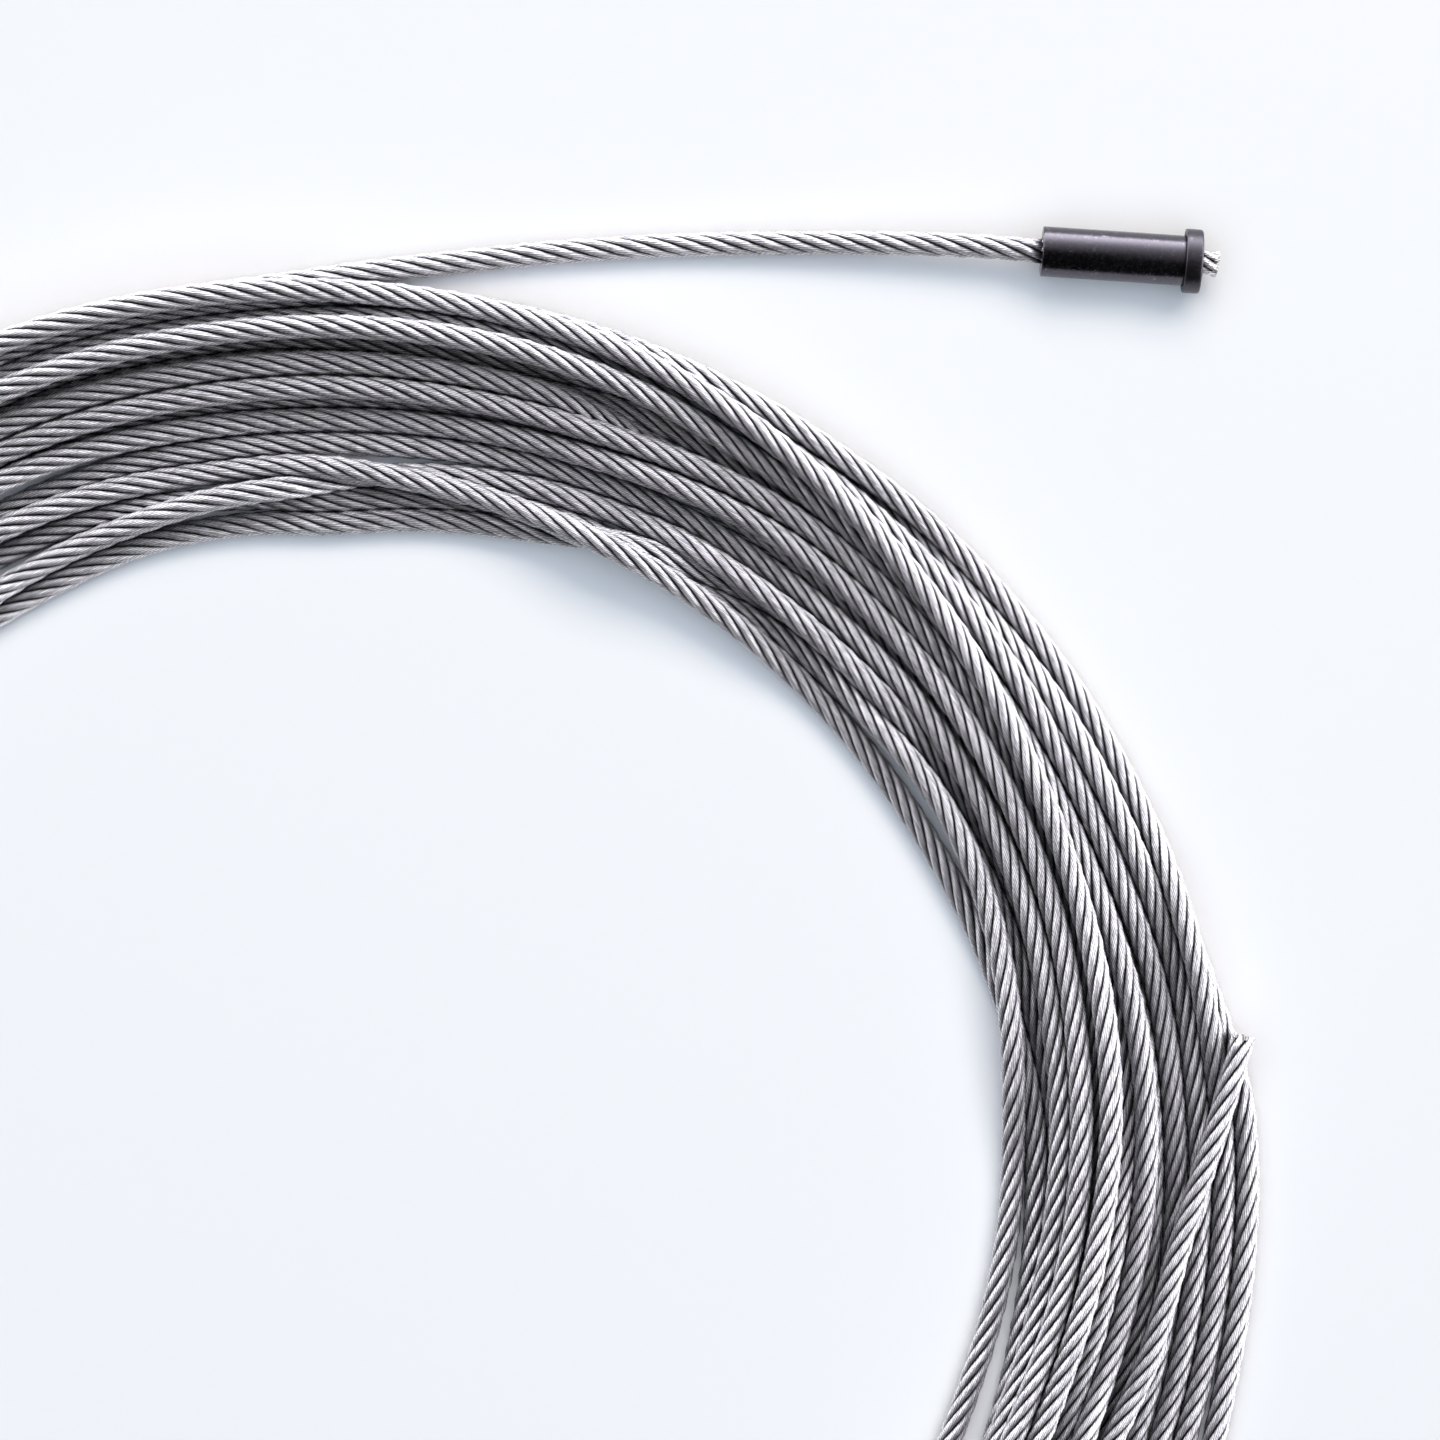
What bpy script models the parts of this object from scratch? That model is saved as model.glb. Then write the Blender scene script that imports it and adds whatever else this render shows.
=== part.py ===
"""A hand-wound coil of 7x19 steel wire rope with a flanged stop sleeve swaged on its outer end.

The rope leaves the stop sleeve, runs along the floor to the top of the coil, goes round
counter-clockwise about seventeen times and ends in a bare cut end that lies on the turns.
Metres, +Z up. The coil lies flat on z = 0, and the origin is the middle of the floor that
the whole part covers.
"""

import math

import bmesh
import bpy
from mathutils import Matrix, Vector

OBJECT_NAME = "wire_rope_coil"
GAP = 0.0003  # between two meshes that touch on the real part

# The rope: six outer strands laid right-hand round a core strand.
ROPE_DIAMETER = 0.005
OUTER_STRANDS = 6
STRAND_DIAMETER = ROPE_DIAMETER / 3 - 0.00015  # a third of the rope, less the gap between strands
STRAND_CIRCLE_RADIUS = ROPE_DIAMETER / 3
LAY_LENGTH = 6.2 * ROPE_DIAMETER  # along the rope, for one turn of a strand

# The coil: a flat bundle of turns, round where it is pulled tight and flatter on its lower left.
COIL_CENTRE = Vector((-0.0133, -0.0140, 0))
COIL_OUTER_RADIUS = 0.188
COIL_INNER_RADIUS = 0.141
COIL_HEIGHT = 0.0117
COIL_FOOT_RADIUS = 0.002  # the rounding where the bundle meets the floor
COIL_FLAT_DEPTH = 0.22  # how far the flatter side is pulled in, as a share of the radius
COIL_FLAT_ANGLE = math.radians(214)
COIL_FLAT_SPREAD = math.radians(110)  # each way from the flattest place
COIL_STEPS = 96
CROWN_POINTS = 14
CROWN_POWER = 2.6  # 2 would be an ellipse, and more is squarer

# The stop sleeve lies on the floor, on the rim of its collar.
SLEEVE_MOUTH = Vector((0.1330, 0.1807, 0.0065))
SLEEVE_TURN = math.radians(-3.8)  # from +X, seen from above
SLEEVE_LENGTH = 0.0288
SLEEVE_RADIUS = 0.005
SLEEVE_BORE_RADIUS = ROPE_DIAMETER / 2 + GAP
SLEEVE_CHAMFER = 0.0003
COLLAR_LENGTH = 0.0034
COLLAR_RADIUS = 0.0064
COLLAR_CHAMFER = 0.0004
COLLAR_RECESS = 0.0006  # the sleeve's end sits this far inside the collar, less GAP
COLLAR_START = SLEEVE_LENGTH + GAP - COLLAR_RECESS  # the shoulder, from the sleeve's mouth
STUB_LENGTH = 0.0035  # the rope's end, past the collar
TURNED_STEPS = 48

# Where the rope isn't coiled, its middle line goes through these points.
LEAD_ROUTE = (
    (0.1330, 0.1807, 0.0065),
    (0.1247, 0.1817, 0.0063),
    (0.1167, 0.1821, 0.0059),
    (0.1047, 0.1824, 0.0051),
    (0.0887, 0.1826, 0.0039),
    (0.0767, 0.1825, 0.0031),
    (0.0647, 0.1823, 0.0026),
    (0.0527, 0.1817, 0.0026),
    (0.0447, 0.1812, 0.0026),
    (0.0367, 0.1806, 0.0026),
    (0.0287, 0.1798, 0.0026),
    (0.0207, 0.1788, 0.0026),
    (0.0127, 0.1777, 0.0026),
    (0.0007, 0.1763, 0.0026),
)
CUT_END_ROUTE = (
    (0.1547, -0.0410, 0.0146),
    (0.1577, -0.0290, 0.0147),
    (0.1607, -0.0170, 0.0147),
    (0.1647, -0.0050, 0.0147),
    (0.1697, 0.0110, 0.0141),
    (0.1732, 0.0237, 0.0134),
)
ROUTE_STEP = 2.4 * ROPE_DIAMETER
STRAND_STEP = LAY_LENGTH / 12

# Base colour, metallic, roughness
BRIGHT_WIRE = ((0.58, 0.58, 0.59), 1.0, 0.32)
CORE_WIRE = ((0.42, 0.42, 0.43), 1.0, 0.4)
BLACKENED_STEEL = ((0.045, 0.043, 0.047), 0.85, 0.36)
BLACKENED_COLLAR = ((0.06, 0.058, 0.063), 0.85, 0.42)


def clear_scene():
    for obj in list(bpy.data.objects):
        bpy.data.objects.remove(obj, do_unlink=True)


def new_collection(name, hidden=False):
    collection = bpy.data.collections.new(name)
    collection.hide_render = hidden
    bpy.context.scene.collection.children.link(collection)
    return collection


def new_material(name, finish):
    colour, metallic, roughness = finish
    material = bpy.data.materials.new(name)
    material.use_nodes = True
    shader = material.node_tree.nodes["Principled BSDF"]
    shader.inputs["Base Color"].default_value = (*colour, 1)
    shader.inputs["Metallic"].default_value = metallic
    shader.inputs["Roughness"].default_value = roughness
    return material


def add_object(name, data, collection, finish=None):
    obj = bpy.data.objects.new(name, data)
    collection.objects.link(obj)
    if finish:
        data.materials.append(new_material(name, finish))
    return obj


def poly_curve(name, points, cyclic=False, dimensions="3D"):
    curve = bpy.data.curves.new(name, "CURVE")
    curve.dimensions = dimensions
    spline = curve.splines.new("POLY")
    spline.points.add(len(points) - 1)
    for spline_point, point in zip(spline.points, points):
        spline_point.co = (*point, 1)
    spline.use_cyclic_u = cyclic
    spline.use_smooth = True
    return curve


def add_tube(name, points, radius, collection, finish):
    curve = poly_curve(name, points)
    curve.bevel_depth = radius
    curve.bevel_resolution = 2
    curve.use_fill_caps = True
    return add_object(name, curve, collection, finish)


def smooth_line(route, step):
    """Evenly spaced points on the Catmull-Rom curve through the route's points."""
    knots = [Vector(point) for point in route]
    knots = [2 * knots[0] - knots[1], *knots, 2 * knots[-1] - knots[-2]]
    fine = []
    for a, b, c, d in zip(knots, knots[1:], knots[2:], knots[3:]):
        for t in (i / 16 for i in range(16)):
            fine.append(
                0.5
                * (2 * b + (c - a) * t + (2 * a - 5 * b + 4 * c - d) * t**2 + (3 * b - a - 3 * c + d) * t**3)
            )
    fine.append(knots[-2])
    lengths = [0.0]
    for before, after in zip(fine, fine[1:]):
        lengths.append(lengths[-1] + (after - before).length)
    count = max(2, round(lengths[-1] / step))
    line, at = [], 0
    for i in range(count + 1):
        wanted = lengths[-1] * i / count
        while at < len(fine) - 2 and lengths[at + 1] < wanted:
            at += 1
        share = (wanted - lengths[at]) / (lengths[at + 1] - lengths[at])
        line.append(fine[at].lerp(fine[at + 1], min(1, max(0, share))))
    return line


def coil_pull(angle):
    """The coil's radius at this angle, as a share of its radius where it is round."""
    turned = (angle - COIL_FLAT_ANGLE + math.pi) % (2 * math.pi) - math.pi
    if abs(turned) >= COIL_FLAT_SPREAD:
        return 1.0
    return 1 - COIL_FLAT_DEPTH * (1 + math.cos(math.pi * turned / COIL_FLAT_SPREAD)) / 2


def bundle_outline():
    """The bundle's section: a flat foot with rounded corners under a crown."""
    half_width = (COIL_OUTER_RADIUS - COIL_INNER_RADIUS) / 2
    foot = half_width - COIL_FOOT_RADIUS
    outline = []
    for i in range(CROWN_POINTS + 1):
        turn = math.pi * i / CROWN_POINTS
        across = math.copysign(abs(math.cos(turn)) ** (2 / CROWN_POWER), math.cos(turn))
        up = max(0.0, math.sin(turn)) ** (2 / CROWN_POWER)
        outline.append((half_width * across, COIL_FOOT_RADIUS + (COIL_HEIGHT - COIL_FOOT_RADIUS) * up, 0))
    outline += [(-foot, 0, 0), (foot, 0, 0)]
    return outline[::-1]


def add_rope_coil(parts, guides):
    """One closed solid of the outer shape of all the turns."""
    middle = (COIL_OUTER_RADIUS + COIL_INNER_RADIUS) / 2
    ring = []
    for i in range(COIL_STEPS):
        angle = 2 * math.pi * i / COIL_STEPS
        radius = middle * coil_pull(angle)
        ring.append(COIL_CENTRE + radius * Vector((math.cos(angle), math.sin(angle), 0)))
    section = add_object("bundle_section", poly_curve("bundle_section", bundle_outline(), True, "2D"), guides)
    section.hide_render = True
    curve = poly_curve("rope_coil", ring, cyclic=True)
    curve.twist_mode = "Z_UP"
    curve.bevel_mode = "OBJECT"
    curve.bevel_object = section
    return add_object("rope_coil", curve, parts, BRIGHT_WIRE)


def add_turned(name, outline, parts, finish):
    """Turns a closed outline of (distance along the axis, radius) points round the sleeve's axis."""
    mesh = bpy.data.meshes.new(name)
    outline_mesh = bmesh.new()
    corners = [outline_mesh.verts.new((radius, 0, along)) for along, radius in outline]
    for corner, following in zip(corners, corners[1:] + corners[:1]):
        outline_mesh.edges.new((corner, following))
    outline_mesh.to_mesh(mesh)
    outline_mesh.free()
    obj = add_object(name, mesh, parts, finish)
    screw = obj.modifiers.new("turned", "SCREW")
    screw.steps = screw.render_steps = TURNED_STEPS
    screw.use_merge_vertices = True
    screw.merge_threshold = 0.00001
    screw.use_smooth_shade = True
    obj.matrix_world = sleeve_frame()
    return obj


def sleeve_frame():
    """The sleeve's own frame: at the middle of its mouth, with +Z along its axis to the collar."""
    turn = Matrix.Rotation(SLEEVE_TURN, 4, "Z") @ Matrix.Rotation(math.pi / 2, 4, "Y")
    return Matrix.Translation(SLEEVE_MOUTH) @ turn


def add_stop_sleeve(parts):
    """The swaged barrel, bored through for the rope."""
    end = SLEEVE_LENGTH
    outline = [
        (end, SLEEVE_BORE_RADIUS),
        (end, SLEEVE_RADIUS - SLEEVE_CHAMFER),
        (end - SLEEVE_CHAMFER, SLEEVE_RADIUS),
        (SLEEVE_CHAMFER, SLEEVE_RADIUS),
        (0, SLEEVE_RADIUS - SLEEVE_CHAMFER),
        (0, SLEEVE_BORE_RADIUS + SLEEVE_CHAMFER),
        (SLEEVE_CHAMFER, SLEEVE_BORE_RADIUS),
    ]
    return add_turned("stop_sleeve", outline, parts, BLACKENED_STEEL)


def add_collar(parts):
    """The wider ring round the sleeve's far end. Its inner shoulder takes the load."""
    start, end = COLLAR_START, COLLAR_START + COLLAR_LENGTH
    outline = [
        (end, SLEEVE_BORE_RADIUS),
        (end, COLLAR_RADIUS - COLLAR_CHAMFER),
        (end - COLLAR_CHAMFER, COLLAR_RADIUS),
        (start + COLLAR_CHAMFER / 2, COLLAR_RADIUS),
        (start, COLLAR_RADIUS - COLLAR_CHAMFER / 2),
        (start, SLEEVE_RADIUS + GAP),
        (start + COLLAR_RECESS, SLEEVE_RADIUS + GAP),
        (start + COLLAR_RECESS, SLEEVE_BORE_RADIUS),
    ]
    return add_turned("collar", outline, parts, BLACKENED_COLLAR)


def strand_line(turn, circle_radius):
    """A strand's middle line through the sleeve, right-handed about the axis."""
    start, end = GAP, COLLAR_START + COLLAR_LENGTH + STUB_LENGTH
    count = round((end - start) / STRAND_STEP)
    line = []
    for i in range(count + 1):
        along = start + (end - start) * i / count
        angle = turn + 2 * math.pi * along / LAY_LENGTH
        line.append((circle_radius * math.cos(angle), circle_radius * math.sin(angle), along))
    return line


def add_rope_end_strands(parts):
    """The rope's own strands where they pass through the sleeve and show past the collar."""
    core = add_tube("rope_end_core_strand", strand_line(0, 0), STRAND_DIAMETER / 2, parts, CORE_WIRE)
    core.matrix_world = sleeve_frame()
    for i in range(OUTER_STRANDS):
        line = strand_line(2 * math.pi * i / OUTER_STRANDS, STRAND_CIRCLE_RADIUS)
        strand = add_tube(f"rope_end_strand_{i + 1}", line, STRAND_DIAMETER / 2, parts, BRIGHT_WIRE)
        strand.matrix_world = sleeve_frame()


def add_rope_lead(parts):
    """The stretch from the sleeve's mouth to the coil."""
    line = smooth_line(LEAD_ROUTE, ROUTE_STEP)
    line[0] = line[0].lerp(line[1], GAP / (line[1] - line[0]).length)
    return add_tube("rope_lead", line, ROPE_DIAMETER / 2, parts, BRIGHT_WIRE)


def add_rope_cut_end(parts):
    """The last stretch, which lies on the turns and leans out past them."""
    line = smooth_line(CUT_END_ROUTE, ROUTE_STEP)
    return add_tube("rope_cut_end", line, ROPE_DIAMETER / 2, parts, BRIGHT_WIRE)


def main():
    clear_scene()
    parts = new_collection(OBJECT_NAME)
    guides = new_collection("guides", hidden=True)
    add_stop_sleeve(parts)
    add_collar(parts)
    add_rope_end_strands(parts)
    add_rope_lead(parts)
    add_rope_coil(parts, guides)
    add_rope_cut_end(parts)


main()
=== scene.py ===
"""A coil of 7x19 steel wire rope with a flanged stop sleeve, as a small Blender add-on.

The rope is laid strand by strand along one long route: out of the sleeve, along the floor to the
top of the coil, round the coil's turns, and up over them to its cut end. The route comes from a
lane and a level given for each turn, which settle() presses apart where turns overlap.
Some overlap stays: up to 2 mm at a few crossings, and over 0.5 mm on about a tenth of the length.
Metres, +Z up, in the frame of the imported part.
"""

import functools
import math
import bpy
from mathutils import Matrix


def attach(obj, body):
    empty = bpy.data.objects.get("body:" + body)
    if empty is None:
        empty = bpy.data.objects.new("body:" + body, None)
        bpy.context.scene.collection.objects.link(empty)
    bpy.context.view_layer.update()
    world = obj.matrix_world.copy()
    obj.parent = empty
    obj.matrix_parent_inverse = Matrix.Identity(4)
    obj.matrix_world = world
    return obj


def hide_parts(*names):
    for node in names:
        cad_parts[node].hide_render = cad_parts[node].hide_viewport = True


bl_info = {
    "name": "Wire Rope Coil",
    "version": (1, 0, 0),
    "blender": (4, 5, 0),
    "location": "View3D > Sidebar > Wire Rope",
    "description": "Lays a coil of stranded wire rope with its stop sleeve, on a studio floor",
    "category": "Add Mesh",
}

import bmesh
import bpy
import numpy as np
from bpy.props import FloatProperty, FloatVectorProperty, IntProperty, PointerProperty
from mathutils import Matrix, Vector

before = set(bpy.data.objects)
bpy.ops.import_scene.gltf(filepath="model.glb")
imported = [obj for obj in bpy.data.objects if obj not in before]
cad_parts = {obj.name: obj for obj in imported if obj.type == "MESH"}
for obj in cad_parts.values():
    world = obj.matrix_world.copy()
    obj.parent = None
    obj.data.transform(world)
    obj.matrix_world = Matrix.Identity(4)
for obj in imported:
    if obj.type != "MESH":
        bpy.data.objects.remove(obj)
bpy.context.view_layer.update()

# The rope, as the part has it.
ROPE_DIAMETER = 0.005
OUTER_STRANDS = 6
LAY_LENGTH = 6.2 * ROPE_DIAMETER
STRAND_DIAMETER = 0.00162
STRAND_CIRCLE_RADIUS = (ROPE_DIAMETER - STRAND_DIAMETER) / 2

# The coil's ring, as the part has it.
COIL_CENTRE = (-0.0133, -0.0140)
COIL_INNER_RADIUS = 0.141
COIL_FLAT_DEPTH = 0.22
COIL_FLAT_ANGLE = math.radians(214)
COIL_FLAT_SPREAD = math.radians(110)

# The stop sleeve, as the part has it.
SLEEVE_MOUTH = (0.1330, 0.1807, 0.0065)
SLEEVE_TURN = math.radians(-3.8)
SLEEVE_LENGTH = 0.0288
SLEEVE_RADIUS = 0.005
SLEEVE_BORE_RADIUS = 0.0028
COLLAR_START = 0.0285
COLLAR_LENGTH = 0.0034
COLLAR_RADIUS = 0.0064
STUB_LENGTH = 0.0035
STUB_SAG = 0.0004  # how far the stub bends aside past the collar
STRANDS_SHORT = 0.0004  # how far short of the stub's length its strands end
RECESS_GAP = 0.0003  # between the sleeve and the recess in the collar's face
RECESS_DEPTH = 0.0006
SLEEVE_STEPS = 96

# The strands' wires.
OUTER_WIRES = 12
WIRE_TURNS_PER_LAY = 3
WIRE_ROOT = 0.0006  # how deep in its strand a sheared wire starts
CUT_END_SEED = 7
STUB_SEED = 3

# Where the rope isn't coiled, its middle line goes through these points.
LEAD_ROUTE = (
    (0.1330, 0.1807, 0.0065),
    (0.1247, 0.1817, 0.0063),
    (0.1167, 0.1821, 0.0059),
    (0.1047, 0.1824, 0.0051),
    (0.0887, 0.1826, 0.0039),
    (0.0767, 0.1825, 0.0031),
    (0.0647, 0.1823, 0.0026),
    (0.0527, 0.1817, 0.0026),
    (0.0447, 0.1812, 0.0026),
    (0.0367, 0.1806, 0.0026),
    (0.0287, 0.1798, 0.0026),
    (0.0207, 0.1788, 0.0026),
    (0.0127, 0.1777, 0.0026),
    (0.0007, 0.1763, 0.0026),
)
CUT_END_ROUTE = (
    (0.1547, -0.0410, 0.0146),
    (0.1577, -0.0290, 0.0147),
    (0.1607, -0.0170, 0.0147),
    (0.1647, -0.0050, 0.0147),
    (0.1697, 0.0110, 0.0141),
    (0.1732, 0.0237, 0.0134),
)

# Each turn of the coil, in the order that the rope makes them, from TURN_START right round. A lane
# is in rope diameters outwards from the ring's inner radius, and a level in layers up from the
# floor, at each station of the free side. Between its last station and the next turn's first, a
# turn changes lanes.
LANE_ZERO = COIL_INNER_RADIUS / ROPE_DIAMETER
SWING = 12  # degrees for which a turn carries on along its slope as it goes out of the free side
EASE_START, EASE_END = 135, 322
CUT_END_LEVEL = 4
SETTLE_STEPS = 500
UNSMOOTHED_STEPS = 12  # the last of them, which only press and sink
SPREAD = 0.3  # how far each step evens out a turn's bends
PUSH_LIMIT = 0.1
SINK = 0.008  # how far a turn sinks in each step
LEVEL_MARGIN = 0.12  # turns whose levels are closer than this may pass either way
ROUTE_SMOOTHINGS = 9
RINGS_PER_LAY = 12
TURN_START = -13
STATIONS = (-13, 10, 30, 50, 70, 90, 110)
LEAD_LANES = (9.35, 9.0)  # at the last two stations
TURNS = (
    ((9.05, 8.70, 8.10, 7.90, 7.60, 7.40, 7.30), (0, 0, 0, 0, 0, 0, 0)),
    ((7.20, 7.85, 8.15, 8.45, 8.50, 8.30, 8.20), (0.6, 0.6, 0.6, 0.6, 0.6, 0.6, 0.6)),
    ((7.85, 8.65, 8.95, 9.10, 8.95, 8.80, 8.70), (1.2, 1.2, 1.2, 1.2, 1.2, 1, 1)),
    ((6.00, 6.85, 7.20, 8.00, 8.40, 8.35, 8.20), (0.8, 0.8, 0.8, 0.9, 0.8, 0.7, 0.7)),
    ((4.85, 6.20, 6.50, 6.55, 6.70, 6.85, 6.90), (0, 0, 0, 0, 0, 0, 0)),
    ((3.30, 4.95, 5.60, 6.00, 6.15, 6.20, 6.05), (0.4, 0.4, 0.4, 0.4, 0.4, 0.4, 0.4)),
    ((3.40, 3.60, 4.20, 4.60, 4.95, 4.70, 4.70), (0, 0, 0, 0, 0, 0, 0)),
    ((1.60, 2.20, 2.60, 2.60, 1.60, 0.25, -0.15), (0.3, 0.3, 0.3, 0.3, 0.3, 0.3, 0.3)),
    ((-0.95, 0.45, 2.10, 2.15, 1.90, 1.05, 1.45), (2, 2, 1.2, 0.2, 0, 0, 0)),
    ((2.50, 2.60, 3.05, 3.10, 2.75, 1.55, 0.45), (0.5, 0.6, 0.8, 0.9, 1, 1.2, 1.2)),
    ((0.70, 1.25, 0.95, 1.20, 1.55, 2.10, 2.40), (0.6, 0.6, 0.8, 1.8, 2, 2, 2)),
    ((0.80, 2.30, 3.45, 3.85, 3.65, 3.15, 3.00), (1.5, 1.5, 1.5, 1.5, 1.5, 1.5, 1.5)),
    ((1.30, 3.10, 4.55, 5.28, 4.55, 4.05, 4.15), (2, 2, 2, 2, 2, 2, 2)),
    ((2.30, 3.80, 5.30, 6.15, 5.60, 5.35, 5.15), (1.2, 1.2, 1.5, 1.5, 1.3, 1.1, 1)),
    ((3.90, 5.70, 6.13, 6.85, 7.70, 7.70, 7.40), (2, 2, 2, 2, 2, 2, 2)),
    ((2.20, 4.25, 5.70, 7.45, 8.85, 9.15, 9.15), (3, 3, 3, 3, 3, 3, 3)),
)


def smooth_through(knots, wanted):
    """Values at the wanted places on the Catmull-Rom curve through (place, value) knots."""
    places, values = np.array(knots, float).T
    slopes = np.gradient(values, places)
    at = np.clip(np.searchsorted(places, wanted, side="right") - 1, 0, len(places) - 2)
    width = places[at + 1] - places[at]
    t = np.clip((wanted - places[at]) / width, 0, 1)
    return (
        (2 * t**3 - 3 * t**2 + 1) * values[at]
        + (t**3 - 2 * t**2 + t) * width * slopes[at]
        + (3 * t**2 - 2 * t**3) * values[at + 1]
        + (t**3 - t**2) * width * slopes[at + 1]
    )


def coil_pull(angle):
    """The coil's radius at these angles, as a share of its radius where it is round."""
    turned = (angle - COIL_FLAT_ANGLE + math.pi) % (2 * math.pi) - math.pi
    pulled = 1 - COIL_FLAT_DEPTH * (1 + np.cos(math.pi * turned / COIL_FLAT_SPREAD)) / 2
    return np.where(np.abs(turned) < COIL_FLAT_SPREAD, pulled, 1.0)


def polar(point):
    """A point's angle in degrees and its radius in rope diameters, about the coil's centre."""
    x, y = point[0] - COIL_CENTRE[0], point[1] - COIL_CENTRE[1]
    return math.degrees(math.atan2(y, x)), math.hypot(x, y) / ROPE_DIAMETER



def wanted_lanes():
    """Each turn's lane and level at every degree, in rows from TURN_START; the first row holds the
    lead and the last the cut end."""
    rows = len(TURNS) + 2
    degrees = TURN_START + np.arange(360.0)
    lanes = np.zeros((rows, 360))
    levels = np.zeros((rows, 360))
    lead = [polar(point) for point in LEAD_ROUTE]
    lead = [(angle, radius - LANE_ZERO) for angle, radius in lead] + list(zip(STATIONS[-2:], LEAD_LANES))
    cut = [polar(point) for point in CUT_END_ROUTE]
    cut = [(angle, radius - LANE_ZERO) for angle, radius in cut]
    cut = [(TURN_START, cut[0][1] - 0.65)] + cut
    for row in range(rows):
        if row == 0:
            lane, level = lead, [(0, 0), (360, 0)]
        elif row == rows - 1:
            lane, level = cut, [(TURN_START, CUT_END_LEVEL), (30, CUT_END_LEVEL)]
        else:
            lane = list(zip(STATIONS, TURNS[row - 1][0]))
            level = list(zip(STATIONS, TURNS[row - 1][1]))
        if row < rows - 1:
            out_slope = (lane[-1][1] - lane[-2][1]) / (lane[-1][0] - lane[-2][0])
            lane.append((EASE_START, lane[-1][1] + SWING * out_slope))
            following = list(zip(STATIONS, TURNS[row][0])) if row < rows - 2 else cut
            in_slope = (following[1][1] - following[0][1]) / (following[1][0] - following[0][0])
            last_level = TURNS[row][1][0] if row < rows - 2 else CUT_END_LEVEL
            first, last = lane[-1][1], following[0][1] - SWING * in_slope
            for share in (0.25, 0.5, 0.75, 1):
                eased = share * share * (3 - 2 * share)
                place = EASE_START + share * (EASE_END - EASE_START)
                lane.append((place, first + (last - first) * eased))
                level.append((place, level[-1][1] if share < 0.5 else last_level))
            lane.append((TURN_START + 360, following[0][1]))
            level.append((TURN_START + 360, last_level))
        lanes[row] = smooth_through(lane, degrees)
        levels[row] = np.interp(degrees, *zip(*level))
    present = np.ones((rows, 360), bool)
    present[0] = degrees >= lead[0][0]
    present[-1] = degrees <= cut[-1][0]
    return degrees, lanes, levels, present


def settle(radii, levels, present, free):
    """Presses the turns together in every section of the coil, each row a turn and each column an
    angle, in rope diameters. Where two overlap, the one with the higher level stays on top. The steps
    end before every overlap is gone."""
    rows = len(radii)
    wanted = radii.copy()
    height = 0.5 + 0.8 * levels
    firm = 0.03 + 0.05 * levels
    yields = 1 / (1 + 2 * levels)
    pairs = [(a, b) for a in range(rows) for b in range(a + 1, rows)]
    a_row = np.array([a for a, _ in pairs])
    b_row = np.array([b for _, b in pairs])
    both = present[a_row] & present[b_row]
    order = levels[a_row] - levels[b_row]
    share = yields[a_row] / (yields[a_row] + yields[b_row])
    for step in range(SETTLE_STEPS):
        across = radii[a_row] - radii[b_row]
        up = height[a_row] - height[b_row]
        up = np.where(order > LEVEL_MARGIN, np.maximum(up, 0.08), up)
        up = np.where(order < -LEVEL_MARGIN, np.minimum(up, -0.08), up)
        apart = np.maximum(np.hypot(across, up), 1e-3)
        push = np.where(both & (apart < 1), (1 - apart) * 0.6 / apart, 0)
        move, lift = np.zeros_like(radii), np.zeros_like(radii)
        np.add.at(move, a_row, push * across * share)
        np.add.at(move, b_row, -push * across * (1 - share))
        np.add.at(lift, a_row, push * up * 0.5)
        np.add.at(lift, b_row, -push * up * 0.5)
        radii += np.clip(move, -PUSH_LIMIT, PUSH_LIMIT) * free
        height += np.clip(lift, -PUSH_LIMIT, PUSH_LIMIT)
        radii += firm * (wanted - radii) * free
        height -= SINK
        height = np.maximum(height, 0.5)
        if step < SETTLE_STEPS - UNSMOOTHED_STEPS:
            strayed = (radii - wanted).reshape(-1)
            strayed[1:-1] += SPREAD * (strayed[:-2] - 2 * strayed[1:-1] + strayed[2:])
            radii = wanted + strayed.reshape(rows, 360)
            flat = height.reshape(-1)
            flat[1:-1] += SPREAD * (flat[:-2] - 2 * flat[1:-1] + flat[2:])
            height = flat.reshape(rows, 360)
    return radii, height


@functools.lru_cache(maxsize=None)
def rope_route():
    """The rope's middle line from the sleeve's mouth to the cut end, evenly spaced, as an array."""
    degrees, lanes, levels, present = wanted_lanes()
    angles = np.radians(degrees)
    pull = coil_pull(angles)
    radii = (LANE_ZERO + lanes) * pull
    free = np.ones_like(radii)
    free[0] = 0.15 * np.clip((degrees - 84) / 16, 0, 1)
    free[-1] = 0
    radii, height = settle(radii, levels, present, free)
    lead = np.array(LEAD_ROUTE)
    lead_angles = np.array([polar(point)[0] for point in LEAD_ROUTE])
    resting = np.interp(degrees, lead_angles, lead[:, 2] / ROPE_DIAMETER)
    lead_share = np.clip((degrees - 70) / 16, 0, 1)
    height[0] = lead_share * height[0] + (1 - lead_share) * resting
    line = []
    for row in range(len(radii)):
        for column in np.flatnonzero(present[row]):
            reach = radii[row, column] * ROPE_DIAMETER
            line.append(
                (
                    COIL_CENTRE[0] + reach * math.cos(angles[column]),
                    COIL_CENTRE[1] + reach * math.sin(angles[column]),
                    height[row, column] * ROPE_DIAMETER,
                )
            )
    line = np.array([SLEEVE_MOUTH] + line)
    tip = CUT_END_ROUTE[-1]
    line = np.vstack([line, (tip[0], tip[1], line[-1, 2])])
    for _ in range(ROUTE_SMOOTHINGS):
        line[1:-1] = (line[:-2] + 2 * line[1:-1] + line[2:]) / 4
    return resampled(line, LAY_LENGTH / RINGS_PER_LAY)


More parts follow.
